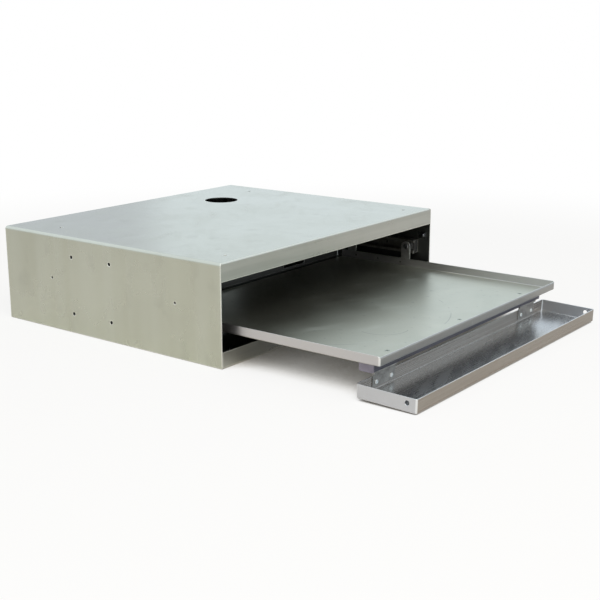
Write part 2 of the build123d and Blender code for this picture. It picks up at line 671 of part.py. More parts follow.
def tube_leaf():
    """Right-hand fixed leaf: it lies under the cross tube, and its knuckles hang from its front edge."""
    low_x, high_x = HINGE_CENTRE_X - HINGE_LENGTH / 2, HINGE_CENTRE_X + HINGE_LENGTH / 2
    plate_y = AXIS_Y + KNUCKLE_RADIUS + KNUCKLE_GAP
    low_z = TUBE_BOTTOM - LEAF_THICKNESS
    leaf = slab((low_x, high_x), (plate_y, AXIS_Y + TUBE_LEAF_REACH), (low_z, TUBE_BOTTOM))
    for start, end in knuckle_spans(0):
        leaf += slab((start, end), (AXIS_Y, plate_y), (low_z, TUBE_BOTTOM))
        leaf += rod_x(KNUCKLE_RADIUS, start, end, AXIS_Y, AXIS_Z)
    leaf -= hinge_bore()
    for x in leaf_hole_places():
        leaf -= rod_z(LEAF_RIVET_RADIUS, x, tube_rivet_y(), low_z - OVERRUN, TUBE_BOTTOM + OVERRUN)
    return leaf


def flap_leaf():
    """Right-hand moving leaf: it lies on the inner face of the flap's rear wall."""
    low_x, high_x = HINGE_CENTRE_X - HINGE_LENGTH / 2, HINGE_CENTRE_X + HINGE_LENGTH / 2
    plate_z = AXIS_Z - KNUCKLE_RADIUS - KNUCKLE_GAP
    back_y = AXIS_Y + KNUCKLE_RADIUS
    front_y = back_y - LEAF_THICKNESS
    leaf = slab((low_x, high_x), (front_y, back_y), (AXIS_Z - FLAP_LEAF_REACH, plate_z))
    for start, end in knuckle_spans(1):
        leaf += slab((start, end), (front_y, back_y), (plate_z, AXIS_Z))
        leaf += rod_x(KNUCKLE_RADIUS, start, end, AXIS_Y, AXIS_Z)
    leaf -= hinge_bore()
    for x in leaf_hole_places():
        leaf -= flap_rivet_hole(x)
    return leaf


def hinge_pins():
    """Pins with a small head at each end."""
    low_x, high_x = HINGE_CENTRE_X - HINGE_LENGTH / 2, HINGE_CENTRE_X + HINGE_LENGTH / 2
    pin = rod_x(PIN_RADIUS, low_x, high_x, AXIS_Y, AXIS_Z)
    pin += rod_x(PIN_HEAD_RADIUS, low_x - PIN_HEAD_HEIGHT, low_x, AXIS_Y, AXIS_Z)
    pin += rod_x(PIN_HEAD_RADIUS, high_x, high_x + PIN_HEAD_HEIGHT, AXIS_Y, AXIS_Z)
    return group(both_sides(pin))


def tube_leaf_rivets():
    """Rivets from the fixed leaves up into the cross tube."""
    head = Rot(HALF_TURN, 0, 0) * button(LEAF_RIVET_HEAD_RADIUS, LEAF_RIVET_TAIL_HEIGHT)
    tail = button(LEAF_RIVET_HEAD_RADIUS, LEAF_RIVET_TAIL_HEIGHT)
    low_z, high_z = TUBE_BOTTOM - LEAF_THICKNESS, TUBE_BOTTOM + TUBE_WALL
    y = tube_rivet_y()
    return group(
        Pos(x, y, low_z) * head + rod_z(LEAF_RIVET_RADIUS, x, y, low_z, high_z) + Pos(x, y, high_z) * tail
        for x in leaf_hole_places()
    )


def flap_leaf_rivets():
    """Rivets through the moving leaves, with round heads inside the flap and flush behind it."""
    head = Rot(QUARTER_TURN, 0, 0) * button(LEAF_RIVET_HEAD_RADIUS, LEAF_RIVET_HEAD_HEIGHT)
    front_y = AXIS_Y + KNUCKLE_RADIUS - LEAF_THICKNESS
    z = flap_rivet_z()
    return group(
        Pos(x, front_y, z) * head + rod_y(LEAF_RIVET_RADIUS, x, front_y, FLAP_REAR_Y, z)
        for x in leaf_hole_places()
    )


# Flap

def flap_pan():
    """Shallow pan that is a hand rest when it hangs open and the housing's door when it is shut."""
    span = (FLAP_FRONT_Y, FLAP_REAR_Y)
    flap = pan(FLAP_X, *span, FLAP_FOOT_GAP, FLAP_HEIGHT, FLAP_WALL, FLAP_BEND, FLAP_CORNER)
    reach_x = FLAP_X + OVERRUN
    flap -= rod_x(CATCH_HOLE_RADIUS, -reach_x, reach_x, CATCH_HOLE_Y, CATCH_HOLE_Z)
    for x in leaf_hole_places():
        flap -= flap_rivet_hole(x)
    return flap


# Every sub-part by name

rail_right, rail_left = both_sides(rail())
catch_right, catch_left = both_sides(catch_spring())
hanger_right, hanger_left = both_sides(hanger())
front_roller_right, front_roller_left = both_sides(roller(FRONT_ROLLER_Y))
rear_roller_right, rear_roller_left = both_sides(roller(REAR_ROLLER_Y))
tube_leaf_right, tube_leaf_left = both_sides(tube_leaf())
flap_leaf_right, flap_leaf_left = both_sides(drooped(flap_leaf()))

NODES = {
    "housing_shell": housing_shell(),
    "bottom_panel": bottom_panel(),
    "rear_cover": rear_cover(),
    "cover_screws": cover_screws(),
    "rail_left": rail_left,
    "rail_right": rail_right,
    "rail_rivets": rail_rivets(),
    "rail_buffers": rail_buffers(),
    "catch_spring_left": catch_left,
    "catch_spring_right": catch_right,
    "keyboard_tray": keyboard_tray(),
    "hanger_left": hanger_left,
    "hanger_right": hanger_right,
    "hanger_rivets": hanger_rivets(),
    "roller_axles": roller_axles(),
    "axle_clips": axle_clips(),
    "front_roller_left": front_roller_left,
    "front_roller_right": front_roller_right,
    "rear_roller_left": rear_roller_left,
    "rear_roller_right": rear_roller_right,
    "cross_tube": cross_tube(),
    "tube_end_caps": tube_end_caps(),
    "tray_screws": tray_screws(),
    "tube_nuts": tube_nuts(),
    "hinge_tube_leaf_left": tube_leaf_left,
    "hinge_tube_leaf_right": tube_leaf_right,
    "hinge_flap_leaf_left": flap_leaf_left,
    "hinge_flap_leaf_right": flap_leaf_right,
    "hinge_pins": hinge_pins(),
    "tube_leaf_rivets": tube_leaf_rivets(),
    "flap_leaf_rivets": drooped(flap_leaf_rivets()),
    "flap_pan": drooped(flap_pan()),
}

os.makedirs("parts", exist_ok=True)
for name, piece in NODES.items():
    export_step(piece, f"parts/{name}.step")

print(f"drawer travel {DRAWER_TRAVEL:.2f}, housing Y {FRONT_Y:.2f} to {REAR_Y:.2f}, lip {LIP_HEIGHT:.2f}")
print(f"hinge axis Y {AXIS_Y:.2f} Z {AXIS_Z:.2f}, rollers Y {FRONT_ROLLER_Y:.2f} and {REAR_ROLLER_Y:.2f}")
print(f"tray Y {TRAY_FRONT_Y:.2f} to {TRAY_REAR_Y:.2f}, flap Y {FLAP_FRONT_Y:.2f} to {FLAP_REAR_Y:.2f}")
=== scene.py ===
import json
import math
from collections import namedtuple

import bmesh
import bpy
from mathutils import Euler, Matrix, Vector


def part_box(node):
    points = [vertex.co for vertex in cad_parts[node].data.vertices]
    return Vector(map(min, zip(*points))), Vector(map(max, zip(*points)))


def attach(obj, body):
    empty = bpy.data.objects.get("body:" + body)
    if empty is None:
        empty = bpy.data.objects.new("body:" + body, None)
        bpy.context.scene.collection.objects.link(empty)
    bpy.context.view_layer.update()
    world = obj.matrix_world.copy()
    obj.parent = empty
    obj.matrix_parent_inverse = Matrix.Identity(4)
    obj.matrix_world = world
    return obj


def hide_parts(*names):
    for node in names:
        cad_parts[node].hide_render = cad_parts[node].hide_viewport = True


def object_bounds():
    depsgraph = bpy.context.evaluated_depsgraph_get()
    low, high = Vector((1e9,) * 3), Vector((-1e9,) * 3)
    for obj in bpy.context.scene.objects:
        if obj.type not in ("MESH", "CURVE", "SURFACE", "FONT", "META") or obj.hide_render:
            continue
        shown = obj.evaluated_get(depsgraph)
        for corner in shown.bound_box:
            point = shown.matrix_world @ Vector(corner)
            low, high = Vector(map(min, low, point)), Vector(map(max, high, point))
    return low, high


# A keyboard drawer for under a desk: a folded housing of bare sheet steel, a shallow tray that rolls out
# of it and a flap hinged under the tray's front. Metres. +X is right seen from the front, -Y is the
# front, +Z is up, and the part stands on Z = 0.

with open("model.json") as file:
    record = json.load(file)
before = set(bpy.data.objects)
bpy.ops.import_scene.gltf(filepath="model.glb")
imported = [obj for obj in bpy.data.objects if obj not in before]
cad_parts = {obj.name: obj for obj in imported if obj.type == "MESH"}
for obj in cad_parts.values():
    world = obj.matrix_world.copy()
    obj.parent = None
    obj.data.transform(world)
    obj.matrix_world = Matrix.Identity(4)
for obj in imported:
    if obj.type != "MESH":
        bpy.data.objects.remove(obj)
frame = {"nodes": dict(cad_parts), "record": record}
cad_low, cad_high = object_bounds()

MM = 0.001
QUARTER_TURN = 90
WHITE = "#ffffff"

# Camera: where the photograph was taken from, in metres from the foot of the housing's front, with its
# turns in degrees and its lens and sensor in millimetres
CAMERA_FROM_FRONT = (-1.382068, -0.982535, 0.482380)
CAMERA_TILT = 75.473
CAMERA_ROLL = 0.0686
CAMERA_HEADING = -52.5532
LENS = 65.9483
SENSOR = 36.0

# Floor: white where it is seen far off, and a little darker near the part, where its shadow lies. The
# shade goes by how much open air a spot has within its reach.
FLOOR_REACH = 14.0
FLOOR_DROP = 0.5 * MM
FLOOR_NEAR = 0.75
FLOOR_FAR = 1.6
FLOOR_NEAR_WHITE_SHARE = 0.80
FLOOR_MIRRORED_SHARE = 0.10
FLOOR_SHADE_REACH = 0.14
FLOOR_SHADE_SAMPLES = 8
FLOOR_SHADE = (0.10, 0.42)
FLOOR_PAINT = "#e9e8e4"
FLOOR_SHADED_PAINT = "#bcb3a6"

# Air round the part, and a soft grey screen behind it to the left that only the steel mirrors. The
# screen's side edges are in degrees round the part, its top is the height of the direction seen.
AIR_FILL = 0.60
AIR_SEEN = 1.0
AIR_MIRRORED = 1.10
AIR_TONE = "#e9f3fc"
SCREEN_TONE = "#cdd3dd"
SCREEN_RIGHT_EDGE = (44.0, 45.6)
SCREEN_LEFT_EDGE = (5.0, 22.0)
SCREEN_TOP_EDGE = (0.27, 0.35)

# One large soft lamp, in front of the part to the left and above it
LAMP_PLACE = (-1.6, -1.9, 2.6)
LAMP_AIM = (0, 0, 0.05)
LAMP_SIZE = 2.2
LAMP_WATTS = 70
LAMP_TONE = "#fffdf8"

# Screws. The recess is a cross of a grid's cells, its arms counted in cells from the middle.
SCREW_HEAD_RADIUS = 3.8 * MM
SCREW_SHANK_RADIUS = 2.0 * MM
SCREW_TURN = 37.0
SCREW_SHARP_ANGLE = 30
COVER_SCREW_HEAD_HEIGHT = 2.2 * MM
COVER_SCREW_DOME = 0.9 * MM
COVER_SCREW_RIM = 0.3 * MM
COVER_SCREW_COLUMNS = 4
TRAY_SCREW_COLUMNS = 3
TRAY_SCREW_SINK = 1.2 * MM
RECESS_CELLS = 8
RECESS_ARM_CELLS = 2
RECESS_ARM_HALF_WIDTH_CELLS = 1
RECESS_DEPTH = 1.2 * MM
RECESS_DRAFT = 0.15 * MM

# Marks on the tray: how far from its rear the painted shade reaches, and two thin arcs scraped in its floor.
# Places on the tray are metres to the right of its middle and back from its front.
REAR_SHADE_REACH = 12 * MM
REAR_SHADE_MARGIN = 1 * MM
ARC_WIDTH_MM = 0.9
SMALL_ARC_MIDDLE = (-0.105, 0.096)
SMALL_ARC_RADIUS_MM = 37
SMALL_ARC_FROM = (-0.145, 0.055)
SMALL_ARC_TO = (-0.094, 0.109)
WIDE_ARC_MIDDLE = (-0.071, 0.215)
WIDE_ARC_RADIUS_MM = 183

# Cuts: where a pattern starts and where it is full
WHOLE = (0.0, 1.0)
FLAT_ON = (0.6, 0.9)
ROUNDED = (0.15, 0.40)
EDGE_CUT = (0.999, 0.92)

NOISE_ROUGHNESS = 0.55
ROUNDING_SAMPLES = 4
SHEET_WAVE_MM = 0.12
FRONTWARD, LEFTWARD, UPWARD = (0, -1, 0), (-1, 0, 0), (0, 0, 1)


def linear(code):
    """An sRGB hex colour as linear red, green, blue and a full alpha."""
    channels = [int(code[place:place + 2], 16) / 255 for place in (1, 3, 5)]
    low = [value / 12.92 for value in channels]
    high = [((value + 0.055) / 1.055) ** 2.4 for value in channels]
    return tuple(b if value > 0.04045 else a for value, a, b in zip(channels, low, high)) + (1.0,)


def add(tree, kind, inputs=None, **settings):
    """Adds a node with its settings. An input is a value, a node's first output or any one output."""
    node = tree.nodes.new("ShaderNode" + kind)
    for name, setting in settings.items():
        setattr(node, name, setting)
    for socket, source in (inputs or {}).items():
        if isinstance(source, bpy.types.Node):
            source = source.outputs[0]
        if isinstance(source, bpy.types.NodeSocket):
            tree.links.new(source, node.inputs[socket])
        else:
            node.inputs[socket].default_value = source
    return node


def empty_tree(owner):
    """The cleared node tree of a material or of the world."""
    owner.use_nodes = True
    owner.node_tree.nodes.clear()
    return owner.node_tree


def put_in_scene(name, data):
    """An object that shows a mesh, a lamp or a camera."""
    shown = bpy.data.objects.new(name, data)
    bpy.context.scene.collection.objects.link(shown)
    return shown


# Patterns: each gives a function that draws it in a material's tree, from 0 where it is absent to 1

def patches(sizes_mm, cut, turn=(0, 0, 0), detail=2.0, distortion=0.0):
    """Noise whose patches are about that long along X, Y and Z once turned, cut to a range."""
    def draw(tree):
        place = add(tree, "TexCoord").outputs["Object"]
        turned = add(
            tree, "Mapping", {"Vector": place, "Rotation": [math.radians(angle) for angle in turn]},
            vector_type="TEXTURE"
        )
        scaled = add(tree, "Mapping", {"Vector": turned, "Scale": [1 / (size * MM) for size in sizes_mm]})
        noise = add(tree, "TexNoise", {
            "Vector": scaled, "Scale": 1.0, "Detail": detail, "Roughness": NOISE_ROUGHNESS,
            "Distortion": distortion
        })
        return add(tree, "MapRange", {0: noise, 1: cut[0], 2: cut[1]})
    return draw


def ring(centre, radius_mm):
    """A thin circle round an upright axis through a centre at Z = 0."""
    def draw(tree):
        place = add(tree, "TexCoord").outputs["Object"]
        level = add(tree, "VectorMath", {0: place, 1: (1, 1, 0)}, operation="MULTIPLY")
        reach = add(tree, "VectorMath", {0: level, 1: centre}, operation="DISTANCE").outputs["Value"]
        off = add(tree, "Math", {0: reach, 1: radius_mm * MM}, operation="SUBTRACT")
        off = add(tree, "Math", {0: off}, operation="ABSOLUTE")
        return add(tree, "MapRange", {0: off, 1: ARC_WIDTH_MM * MM, 2: 0.0})
    return draw


def facing(direction):
    """The faces that look one way."""
    def draw(tree):
        normal = add(tree, "TexCoord").outputs["Normal"]
        toward = Vector(direction).normalized()
        agree = add(tree, "VectorMath", {0: normal, 1: toward}, operation="DOT_PRODUCT").outputs["Value"]
        return add(tree, "MapRange", {0: agree, 1: FLAT_ON[0], 2: FLAT_ON[1]})
    return draw


def turning(first, second):
    """The rounded strips where a face that looks along one axis turns into one along another."""
    def draw(tree):
        normal = add(tree, "SeparateXYZ", {0: add(tree, "TexCoord").outputs["Normal"]}).outputs
        both = add(tree, "Math", {0: normal[first], 1: normal[second]}, operation="MULTIPLY")
        both = add(tree, "Math", {0: both}, operation="ABSOLUTE")
        return add(tree, "MapRange", {0: both, 1: ROUNDED[0], 2: ROUNDED[1]})
    return draw


def inside(low, high):
    """What lies between two corners of a box."""
    def draw(tree):
        place = add(tree, "TexCoord").outputs["Object"]
        off = add(tree, "VectorMath", {0: place, 1: (low + high) / 2}, operation="SUBTRACT")
        off = add(tree, "VectorMath", {0: off}, operation="ABSOLUTE")
        off = add(tree, "VectorMath", {0: off, 1: (high - low) / 2}, operation="DIVIDE")
        share = add(tree, "SeparateXYZ", {0: off}).outputs
        farthest = add(tree, "Math", {0: share["X"], 1: share["Y"]}, operation="MAXIMUM")
        farthest = add(tree, "Math", {0: farthest, 1: share["Z"]}, operation="MAXIMUM")
        return add(tree, "Math", {0: farthest, 1: 1.0}, operation="LESS_THAN")
    return draw


def inward(middle):
    """The faces that look towards a middle point, as a casing's inner walls do."""
    def draw(tree):
        surface = add(tree, "TexCoord").outputs
        out = add(tree, "VectorMath", {0: surface["Object"], 1: middle}, operation="SUBTRACT")
        out = add(tree, "VectorMath", {0: out, 1: surface["Normal"]}, operation="DOT_PRODUCT")
        return add(tree, "Math", {0: out.outputs["Value"], 1: 0.0}, operation="LESS_THAN")
    return draw


def overlap(*patterns):
    """Only where all of the patterns are."""
    def draw(tree):
        drawn = 1.0
        for pattern in patterns:
            drawn = add(tree, "Math", {0: pattern(tree), 1: drawn}, operation="MULTIPLY")
        return drawn
    return draw


def edges(radius_mm):
    """The sharp edges, which the finishes paint bright as highlights."""
    def draw(tree):
        rounded = add(tree, "Bevel", {"Radius": radius_mm * MM}, samples=ROUNDING_SAMPLES)
        flat = add(tree, "NewGeometry").outputs["Normal"]
        across = add(tree, "VectorMath", {0: flat, 1: rounded}, operation="DOT_PRODUCT").outputs["Value"]
        return add(tree, "MapRange", {0: across, 1: EDGE_CUT[0], 2: EDGE_CUT[1]})
    return draw


# A layer is a pattern, its tone and how strongly that covers, what the pattern adds to the roughness,
# and how many millimetres it stands up
Layer = namedtuple("Layer", "pattern tone cover dulls raised_mm", defaults=(None, 0, 0, 0))


def waves(size_mm):
    """The slight unevenness of a wide sheet, which only its reflections show."""
    return Layer(patches((size_mm,) * 3, WHOLE, detail=1.0), raised_mm=SHEET_WAVE_MM)


def finish(name, colour, roughness, layers, metallic=1.0, rounding_mm=0.8):
    """A material from a base and the layers over it, with its edges shaded as rounded."""
    material = bpy.data.materials.new(name)
    tree = empty_tree(material)
    tint, dullness, height = linear(colour), roughness, 0.0
    for layer in layers:
        drawn = layer.pattern(tree)
        if layer.cover:
            share = add(tree, "Math", {0: drawn, 1: layer.cover}, operation="MULTIPLY")
            over = {0: share, 6: tint, 7: linear(layer.tone)}
            tint = add(tree, "Mix", over, data_type="RGBA").outputs[2]
        if layer.dulls:
            dullness = add(tree, "Math", {0: drawn, 1: layer.dulls, 2: dullness}, operation="MULTIPLY_ADD")
        if layer.raised_mm:
            raised = {0: drawn, 1: layer.raised_mm * MM, 2: height}
            height = add(tree, "Math", raised, operation="MULTIPLY_ADD")
    rounded = add(tree, "Bevel", {"Radius": rounding_mm * MM}, samples=ROUNDING_SAMPLES)
    bump = add(tree, "Bump", {"Height": height, "Strength": 1.0, "Distance": 1.0, "Normal": rounded})
    shader = add(
        tree, "BsdfPrincipled",
        {"Base Color": tint, "Metallic": metallic, "Roughness": dullness, "Normal": bump}
    )
    add(tree, "OutputMaterial", {"Surface": shader})
    return material


# Finishes

on_top, in_front, on_left = (facing(way) for way in (UPWARD, FRONTWARD, LEFTWARD))
housing_low, housing_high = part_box("housing_shell")
tray_low, tray_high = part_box("keyboard_tray")


def on_tray(right, back, height=0.0):
    """A place on the tray, at a height over Z = 0."""
    return Vector((right, tray_low.y + back, height))


# Painted shade: the tray's rear, deep inside the housing, dark
painted_rear_shade = inside(
    Vector((tray_low.x, tray_high.y - REAR_SHADE_REACH, tray_low.z)), tray_high + Vector((REAR_SHADE_MARGIN,) * 3)
)
small_arc = overlap(
    ring(on_tray(*SMALL_ARC_MIDDLE), SMALL_ARC_RADIUS_MM),
    inside(on_tray(*SMALL_ARC_FROM, tray_low.z), on_tray(*SMALL_ARC_TO, tray_high.z))
)
wide_arc = overlap(
    ring(on_tray(*WIDE_ARC_MIDDLE), WIDE_ARC_RADIUS_MM), patches((60, 60, 60), (0.52, 0.60))
)

# Electrogalvanised sheet, passivated and left bare: an olive grey dull mirror with faint clouds and upright
# bands from the rolling mill, a front painted darker and greyer as shade with wiped streaks over it, folds
# and cut edges painted bright as highlights, and walls inside painted dark as shade
housing_sheet = finish("passivated_electrogalvanised_sheet", "#c4c5b6", 0.24, [
    Layer(patches((130, 130, 130), (0.35, 0.68), distortion=0.4), "#b6b6a6", cover=0.45, dulls=0.05),
    Layer(patches((34, 34, 700), (0.42, 0.66), detail=1.0), "#cdcfc4", cover=0.35, dulls=0.02),
    Layer(on_top, "#c3c5b6", cover=0.5, dulls=-0.07),
    # Painted shade: the front faces darker and greyer
    Layer(in_front, "#b0b1ac", cover=0.85, dulls=0.03),
    Layer(
        overlap(in_front, patches((190, 30, 9), (0.42, 0.68), detail=3.0)),
        "#c6c6bf", cover=0.45, dulls=0.05
    ),
    Layer(
        overlap(on_top, patches((95, 38, 60), (0.48, 0.72), (0, 0, 37), detail=4.0, distortion=0.8)),
        "#cdcec6", cover=0.10, dulls=0.07
    ),
    Layer(patches((30, 30, 42), (0.56, 0.80), distortion=0.3), "#a09f94", cover=0.20, dulls=0.03),
    Layer(
        overlap(on_top, patches((90, 1.5, 30), (0.76, 0.82), (0, 0, 24), detail=1.0)),
        "#dfe1da", cover=0.15, dulls=0.02
    ),
    Layer(
        overlap(on_top, patches((70, 1.3, 30), (0.76, 0.82), (0, 0, -38), detail=1.0)),
        "#dfe1da", cover=0.15, dulls=0.02
    ),
    waves(190),
    # Painted highlights: the rounded folds and the sharp edges
    Layer(turning("X", "Z"), "#eeece0", cover=0.35, dulls=0.05),
    Layer(turning("Y", "Z"), "#e3e3da", cover=0.50, dulls=0.05),
    Layer(edges(2.4), "#fffdf4", cover=0.85, dulls=0.20),
    # Painted shade: the walls inside dark
    Layer(inward((housing_low + housing_high) / 2), "#47474b", cover=0.85, dulls=0.10),
], rounding_mm=1.6)

# The same sheet, rubbed by hand and by what slides on it: smeared patches and thin dark arcs that something
# round has scraped; its left sides painted a tone of their own for how they are lit, its front and rear wall
# painted dark as shade, and painted highlights on its rounded corners and edges
tray_sheet = finish("hand_rubbed_electrogalvanised_sheet", "#cccdbe", 0.34, [
    Layer(
        patches((110, 110, 110), (0.35, 0.66), detail=4.0, distortion=0.5),
        "#bdc0b3", cover=0.60, dulls=0.05
    ),
    Layer(
        patches((60, 16, 60), (0.56, 0.74), (0, 0, -35), detail=4.0, distortion=0.6),
        "#d2d4cc", cover=0.40, dulls=0.06
    ),
    # Painted light: the left sides in a tone of their own for how they are lit
    Layer(on_left, "#cac6c6", cover=0.90),
    # Painted shade: the front faces darker
    Layer(in_front, "#a09f9e", cover=0.90, dulls=0.03),
    # Painted shade: the rear wall dark
    Layer(painted_rear_shade, "#4b4a48", cover=0.90, dulls=0.08),
    Layer(
        overlap(on_top, patches((12, 12, 12), (0.64, 0.74), detail=3.0)), "#8f9190", cover=0.30, dulls=0.08
    ),
    Layer(overlap(on_top, small_arc), "#5f6362", cover=0.55),
    Layer(overlap(on_top, wide_arc), "#5f6362", cover=0.5),
    Layer(patches((110, 1.4, 30), (0.75, 0.81), (0, 0, 12), detail=1.0), "#dcdedd", cover=0.25),
    waves(180),
    # Painted highlights: the rounded corners and the sharp edges
    Layer(turning("X", "Y"), "#f4f3f0", cover=0.85),
    Layer(edges(1.0), "#f0f0ec", cover=0.70, dulls=-0.06),
])

# The same sheet polished with fine paper: nearly a mirror inside, dusty, with long light streaks, lighter
# and duller on its upward faces; its left faces painted whiter for how they are lit, its front painted
# darker and warm as shade and as a reflection of warm ground, and painted highlights on its rounded corners
# and edges
flap_sheet = finish("sanded_electrogalvanised_sheet", "#bec0c2", 0.15, [
    Layer(patches((140, 40, 40), (0.35, 0.68), detail=4.0), "#aeadab", cover=0.50, dulls=0.04),
    Layer(on_top, "#d3d6d8", cover=0.60, dulls=0.06),
    Layer(
        overlap(on_top, patches((80, 12, 20), (0.44, 0.72), (0, 0, 20), detail=3.0, distortion=0.6)),
        "#dfe1e2", cover=0.25, dulls=0.05
    ),
    # Painted shade and painted reflection: the front faces darker and warm
    Layer(in_front, "#8e8377", cover=0.85, dulls=0.10),
    # Painted light: the left faces whiter
    Layer(on_left, "#cdcdd0", cover=0.85, dulls=0.22),
    Layer(
        patches((220, 1.7, 1.7), (0.35, 0.70), detail=3.0), "#c9c6c2",
        cover=0.25, dulls=0.05, raised_mm=0.003
    ),
    Layer(patches((10, 6, 6), (0.66, 0.76), detail=3.0), "#8d8c89", cover=0.20, dulls=0.08),
    Layer(patches((2.6, 2.6, 2.6), (0.62, 0.74), detail=2.0), "#c9ccd0", cover=0.20, dulls=0.05),
    waves(150),
    # Painted highlights: the rounded corners and the sharp edges
    Layer(turning("X", "Y"), "#f4f5f6", cover=0.85, dulls=0.05),
    Layer(edges(1.2), "#f2f2ef", cover=0.75),
])

# Bright zinc plating that has gone dull: a warm grey with small dark patches, and a painted highlight on its
# edges
zinc_plate = finish("bright_zinc_plated_steel", "#a39f99", 0.30, [
    Layer(patches((9, 9, 9), (0.38, 0.66), detail=4.0), "#817e79", cover=0.70, dulls=0.12),
    Layer(patches((2.4, 2.4, 2.4), (0.64, 0.72), detail=1.0), "#57544d", cover=0.35, dulls=0.10),
    Layer(edges(0.6), "#e2e4e6", cover=0.45, dulls=-0.05),
], rounding_mm=0.5)

# Turned screws and axles under a thin plating: a plain grey with small dull patches, dark specks and a
# painted highlight on its edges
turned_steel = finish("turned_plated_steel", "#9a9b9c", 0.26, [
    Layer(patches((6, 6, 6), (0.38, 0.66), detail=4.0), "#77787a", cover=0.70, dulls=0.10),
    Layer(patches((1.2, 1.2, 1.2), (0.60, 0.72), detail=1.0), "#57544d", cover=0.30, dulls=0.06),
    Layer(edges(0.4), "#cfd1d2", cover=0.40, dulls=-0.05),
], rounding_mm=0.3)

# Countersunk heads rubbed level with the tray: the sheet's greenish grey, a little darker and dull
rubbed_heads = finish("rubbed_countersunk_heads", "#b3b8ae", 0.42, [
    Layer(patches((3, 3, 3), (0.40, 0.66), detail=2.0), "#959b92", cover=0.60, dulls=0.08),
], rounding_mm=0.3)

# Hardened spring strip with a film of oil: dark and smooth, with a painted highlight on its edges
spring_strip = finish("oiled_spring_strip", "#6a6b6d", 0.26, [
    Layer(patches((12, 12, 12), (0.38, 0.66), detail=4.0), "#4b4b4d", cover=0.70, dulls=0.10),
    Layer(edges(0.4), "#a6a7a8", cover=0.40),
], rounding_mm=0.3)

# Drawn tube with its mill skin: dark grey with a violet cast, painted darker still as the shade under the
# tray's lip, with long faint draw lines, drawn coarser than the real ones so that they show, and a painted
# highlight on its edges
drawn_tube = finish("drawn_steel_tube", "#64616a", 0.36, [
    Layer(patches((60, 20, 20), (0.38, 0.66), detail=4.0), "#524f55", cover=0.60, dulls=0.06),
    Layer(
        patches((240, 1.6, 1.6), (0.40, 0.66), detail=2.0), "#a3a1a3",
        cover=0.25, dulls=0.04, raised_mm=0.003
    ),
    Layer(edges(0.8), "#bdbcbd", cover=0.40),
])

# Rivets set below the surface: painted dark all over as the shade in their dimples
rivet_painted_shade = finish("rivet_steel_painted_shade", "#4a4844", 0.45, [
    Layer(patches((2.4, 2.4, 2.4), (0.40, 0.66), detail=2.0), "#35332f", cover=0.70, dulls=0.10),
], rounding_mm=0.2)

# Domed rivets of bare aluminium: a bright spot each on the dull leaves
dome_rivet = finish("headed_aluminium_rivets", "#eceeec", 0.34, [
    Layer(patches((3, 3, 3), (0.40, 0.66), detail=2.0), "#d6d8d6", cover=0.60, dulls=0.06),
], rounding_mm=0.3)

# Moulded polyethylene plugs: violet grey with a soft sheen and the mould's fine grain
cap_plastic = finish("moulded_polyethylene", "#9d97a6", 0.45, [
    Layer(patches((14, 14, 14), (0.35, 0.65), detail=3.0), "#878190", cover=0.60, dulls=0.04),
    Layer(patches((0.8, 0.8, 0.8), WHOLE, detail=1.0), dulls=0.08, raised_mm=0.03),
], metallic=0.0, rounding_mm=0.5)

# Moulded nylon rollers, filled with soot: dark grey and waxy, dusty where they run
roller_nylon = finish("moulded_nylon", "#3b3b3d", 0.38, [
    Layer(patches((18, 18, 18), (0.35, 0.65), detail=3.0), "#4a4947", cover=0.80, dulls=0.04),
    Layer(patches((0.9, 0.9, 0.9), WHOLE, detail=1.0), dulls=0.08, raised_mm=0.02),
], metallic=0.0, rounding_mm=0.4)

# Moulded rubber blocks: black and matt, with a dusty bloom
buffer_rubber = finish("moulded_rubber", "#222222", 0.72, [
    Layer(patches((5, 5, 5), (0.40, 0.66), detail=3.0), "#343230", cover=0.80, dulls=0.08),
    Layer(patches((0.7, 0.7, 0.7), WHOLE, detail=1.0), raised_mm=0.03),
], metallic=0.0, rounding_mm=0.4)

FINISHES = {
    "housing_sheet": housing_sheet,
    "tray_sheet": tray_sheet,
    "flap_sheet": flap_sheet,
    "zinc_plated_steel": zinc_plate,
    "screw_steel": turned_steel,
    "spring_steel": spring_strip,
    "tube_steel": drawn_tube,
    "cap_plastic": cap_plastic,
    "roller_nylon": roller_nylon,
    "buffer_rubber": buffer_rubber,
}


def finish_nodes():
    """Each CAD node takes the finish of the slot that the record gives it, but for two sets of rivets."""
    for entry in frame["record"]["subparts"]:
        node = frame["nodes"][entry["node"]]
        node.data.materials.clear()
        node.data.materials.append(FINISHES[entry["material_slot"]])
    for node, rivet in (("rail_rivets", rivet_painted_shade), ("flap_leaf_rivets", dome_rivet)):
        frame["nodes"][node].data.materials[0] = rivet


# Screws with a cross recess

